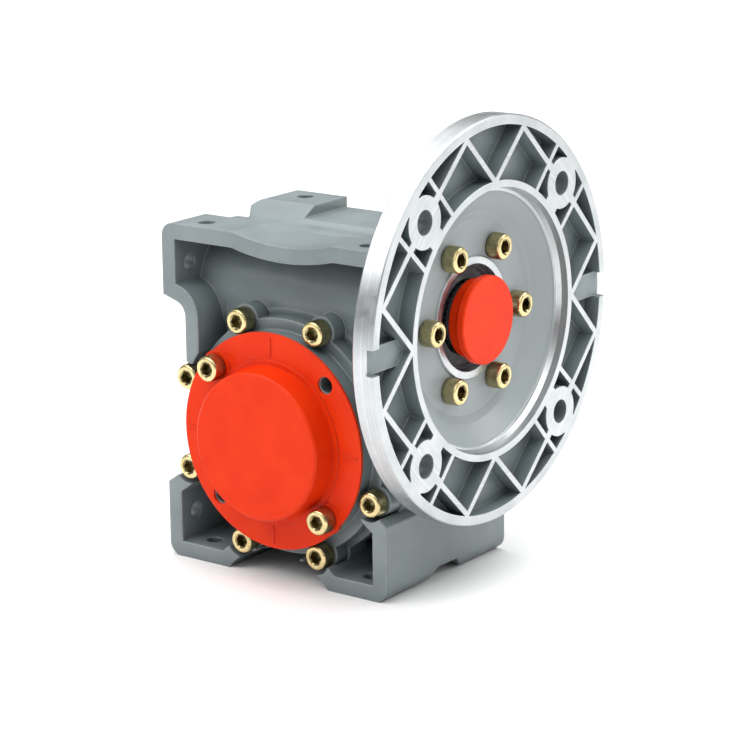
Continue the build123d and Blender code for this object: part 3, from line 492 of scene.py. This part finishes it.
def add_screws(node_name, axis, way):
    """Knurled socket screws, with chamfered heads, in place of a CAD node of plain ones."""
    vertices, faces, kinds = [], [], []
    out = Vector([way if i == axis else 0 for i in range(3)])
    side = Vector((0, 0, 1))
    other = out.cross(side)
    for top, length in screw_places(nodes[node_name], axis, way):
        turn, rings = screw_rings(length)
        steps = len(turn)
        first = len(vertices)
        for height, radii, _ in rings:
            for angle, radius in zip(turn, radii):
                spoke = side * math.cos(angle) + other * math.sin(angle)
                vertices.append(top + out * height + spoke * radius)
        for row in range(1, len(rings)):
            near, far = first + (row - 1) * steps, first + row * steps
            for step in range(steps):
                after = (step + 1) % steps
                faces.append((near + step, far + step, far + after, near + after))
                kinds.append(rings[row][2])
        faces.append([first + step for step in range(steps)])
        kinds.append("socket")
        last = first + (len(rings) - 1) * steps
        faces.append([last + step for step in reversed(range(steps))])
        kinds.append("knurl")
    mesh = bpy.data.meshes.new(node_name + "_detailed")
    mesh.from_pydata(vertices, [], faces)
    # The head's top face is the plain yellow zinc; the knurled sides and the socket get darker copies
    # of it, which are painted shade.
    finishes = {"face": FINISHES["zinc_screw"], "knurl": KNURLED_ZINC_SHADED, "socket": SOCKET_ZINC_PAINTED_SHADE}
    for finish in finishes.values():
        mesh.materials.append(finish)
    for face, kind in zip(mesh.polygons, kinds):
        face.material_index = list(finishes).index(kind)
        face.use_smooth = True
    mesh.set_sharp_from_angle(angle=SHARP_TURN)
    piece = bpy.data.objects.new(node_name + "_detailed", mesh)
    bpy.context.scene.collection.objects.link(piece)
    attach(piece, "case")
    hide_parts(node_name)


add_screws("cover_screws", axis=1, way=-1)
add_screws("cap_screws", axis=1, way=-1)
add_screws("flange_screws", axis=0, way=1)


# ---- Studio --------------------------------------------------------------------------------
def add_floor():
    reach = 6.0
    mesh = bpy.data.meshes.new("floor")
    corners = [(-reach, -reach), (reach, -reach), (reach, reach), (-reach, reach)]
    mesh.from_pydata([(x, y, FLOOR_Z) for x, y in corners], [], [(0, 1, 2, 3)])
    floor = bpy.data.objects.new("floor", mesh)
    bpy.context.scene.collection.objects.link(floor)
    finish = Finish("pale_floor", Roughness=0.85, Specular_IOR_Level=0.2)
    shade = finish.noise(0.5, 2)
    mesh.materials.append(finish.set(
        Base_Color=finish.mix(shade, (0.77, 0.77, 0.77, 1), (0.79, 0.79, 0.79, 1))))


def add_softbox(name, azimuth, elevation, distance, size, power, aim=Vector((0.02, 0, 0.04))):
    """A large area light; azimuth 0 is in front, on the -Y side, and 90 is on the +X side."""
    a, e = math.radians(azimuth), math.radians(elevation)
    away = Vector((math.sin(a) * math.cos(e), -math.cos(a) * math.cos(e), math.sin(e)))
    light = bpy.data.lights.new(name, "AREA")
    light.shape = "RECTANGLE"
    light.size, light.size_y = size
    light.energy = power
    lamp = bpy.data.objects.new(name, light)
    lamp.location = aim + away * distance
    lamp.rotation_euler = away.to_track_quat("Z", "Y").to_euler()
    bpy.context.scene.collection.objects.link(lamp)


def add_world(horizon, zenith, falloff):
    """A white sky: brightness at the horizon and overhead, and how fast it drops between."""
    world = bpy.data.worlds.new("studio")
    bpy.context.scene.world = world
    world.use_nodes = True
    tree = world.node_tree
    direction = tree.nodes.new("ShaderNodeTexCoord").outputs["Generated"]
    height = tree.nodes.new("ShaderNodeSeparateXYZ")
    tree.links.new(direction, height.inputs[0])
    upward = tree.nodes.new("ShaderNodeMath")
    upward.operation = "MAXIMUM"
    upward.inputs[1].default_value = 0.0
    tree.links.new(height.outputs[2], upward.inputs[0])
    curve = tree.nodes.new("ShaderNodeMath")
    curve.operation = "POWER"
    curve.inputs[1].default_value = falloff
    tree.links.new(upward.outputs[0], curve.inputs[0])
    strength = tree.nodes.new("ShaderNodeMapRange")
    strength.inputs["To Min"].default_value = horizon
    strength.inputs["To Max"].default_value = zenith
    tree.links.new(curve.outputs[0], strength.inputs["Value"])
    background = tree.nodes["Background"]
    background.inputs["Color"].default_value = (1, 1, 1, 1)
    tree.links.new(strength.outputs["Result"], background.inputs["Strength"])


def add_camera():
    """The photograph's view: azimuth and elevation of the line from the target to the camera.

    They and the roll are in radians, and the lens and sensor are in millimetres.
    """
    azimuth, elevation, roll = 0.6403, 0.2556, -0.0112
    distance = 1.3421
    target = Vector((0.017334, 0, 0.029768))
    lens, sensor = 132.05, 36.0
    back = Vector((math.sin(azimuth) * math.cos(elevation),
                   -math.cos(azimuth) * math.cos(elevation), math.sin(elevation)))
    right = Vector((0, 0, 1)).cross(back).normalized()
    up = back.cross(right)
    c, s = math.cos(roll), math.sin(roll)
    turned_right = c * right + s * up
    turned_up = c * up - s * right
    data = bpy.data.cameras.new("camera")
    data.lens = lens
    data.sensor_width = sensor
    data.clip_end = 30
    camera = bpy.data.objects.new("camera", data)
    rotation = Matrix((turned_right, turned_up, back)).transposed()
    camera.matrix_world = Matrix.Translation(target + back * distance) @ rotation.to_4x4()
    bpy.context.scene.collection.objects.link(camera)
    bpy.context.scene.camera = camera


add_floor()
add_world(horizon=0.25, zenith=4.0, falloff=3.0)
add_softbox("key", azimuth=-25, elevation=40, distance=1.6, size=(1.0, 0.8), power=6)
add_softbox("right", azimuth=80, elevation=25, distance=1.7, size=(0.6, 1.2), power=3)
add_softbox("floor_glow", azimuth=135, elevation=50, distance=0.6, size=(0.25, 0.25), power=1.2,
            aim=Vector((0.23, 0.2, FLOOR_Z)))
add_camera()
bpy.context.scene.view_settings.view_transform = "Standard"
